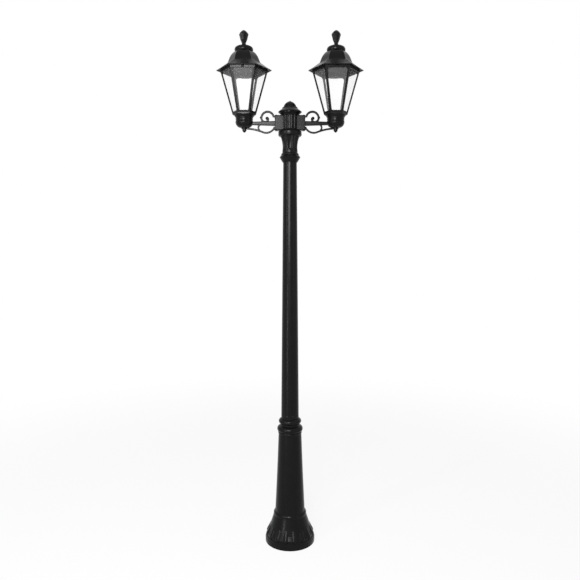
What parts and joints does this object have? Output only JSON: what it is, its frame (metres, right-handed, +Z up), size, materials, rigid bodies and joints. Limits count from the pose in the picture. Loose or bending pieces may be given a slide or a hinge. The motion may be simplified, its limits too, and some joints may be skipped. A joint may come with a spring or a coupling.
{
  "type": "street lamp post",
  "caption": "Black garden lamp post: lobed foot, tapered shaft, fluted capital and scroll arms carrying six-sided lanterns with hinged bell-cast roofs.",
  "frame": {"origin": "on the ground, at the axis of the post", "axes": "+Z up the post, +X along the right arm, -Y the front"},
  "size_m": [0.638, 0.225, 2.279],
  "materials": {
    "black_resin": "satin, fine cast grain",
    "clear_acrylic": "clear with a slight haze",
    "white_insulator": "satin",
    "galvanised_steel": "dull zinc",
    "screw_steel": "blackened",
    "brass_contact": "bright",
    "seal_rubber": "matt",
    "cable_sheath": "matt"
  },
  "bodies": {
    "root": {"anchor_plate": "galvanised_steel", "foot_screws": "screw_steel", "pedestal": "black_resin", "inner_sleeve": "galvanised_steel", "shaft": "black_resin", "shaft_screws": "screw_steel", "capital": "black_resin", "capital_screw": "screw_steel", "hub": "black_resin", "hub_cap": "black_resin", "hub_cap_screw": "screw_steel", "terminal_block": "white_insulator", "riser_cable": "cable_sheath", "arm_left": "black_resin", "arm_screws_left": "screw_steel", "arm_lead_left": "cable_sheath", "arm_right": "black_resin", "arm_screws_right": "screw_steel", "arm_lead_right": "cable_sheath"},
    "lantern_left": {"bottom_nut_left": "black_resin", "stem_left": "galvanised_steel", "stem_nut_left": "galvanised_steel", "gallery_left": "black_resin", "lampholder_left": "white_insulator", "lamp_contact_left": "brass_contact", "frame_left": "black_resin", "frame_screws_left": "screw_steel", "panes_left": "clear_acrylic", "hinge_pin_left": "screw_steel"},
    "roof_left": {"roof_left": "black_resin", "roof_seal_left": "seal_rubber", "crown_left": "black_resin", "finial_left": "black_resin", "finial_nut_left": "screw_steel"},
    "lantern_right": {"bottom_nut_right": "black_resin", "stem_right": "galvanised_steel", "stem_nut_right": "galvanised_steel", "gallery_right": "black_resin", "lampholder_right": "white_insulator", "lamp_contact_right": "brass_contact", "frame_right": "black_resin", "frame_screws_right": "screw_steel", "panes_right": "clear_acrylic", "hinge_pin_right": "screw_steel"},
    "roof_right": {"roof_right": "black_resin", "roof_seal_right": "seal_rubber", "crown_right": "black_resin", "finial_right": "black_resin", "finial_nut_right": "screw_steel"}
  },
  "joints": [
    {"name": "lantern_swivel_left", "type": "hinge", "parent": "root", "child": "lantern_left", "pos_m": [-0.199, 0, 1.9], "axis": [0, 0, 1], "range_deg": [-170, 170]},
    {"name": "roof_hinge_left", "type": "hinge", "parent": "lantern_left", "child": "roof_left", "pos_m": [-0.199, 0.096, 2.105], "axis": [-1, 0, 0], "range_deg": [0, 105]},
    {"name": "lantern_swivel_right", "type": "hinge", "parent": "root", "child": "lantern_right", "pos_m": [0.199, 0, 1.9], "axis": [0, 0, 1], "range_deg": [-170, 170]},
    {"name": "roof_hinge_right", "type": "hinge", "parent": "lantern_right", "child": "roof_right", "pos_m": [0.199, 0.096, 2.105], "axis": [-1, 0, 0], "range_deg": [0, 105]}
  ]
}
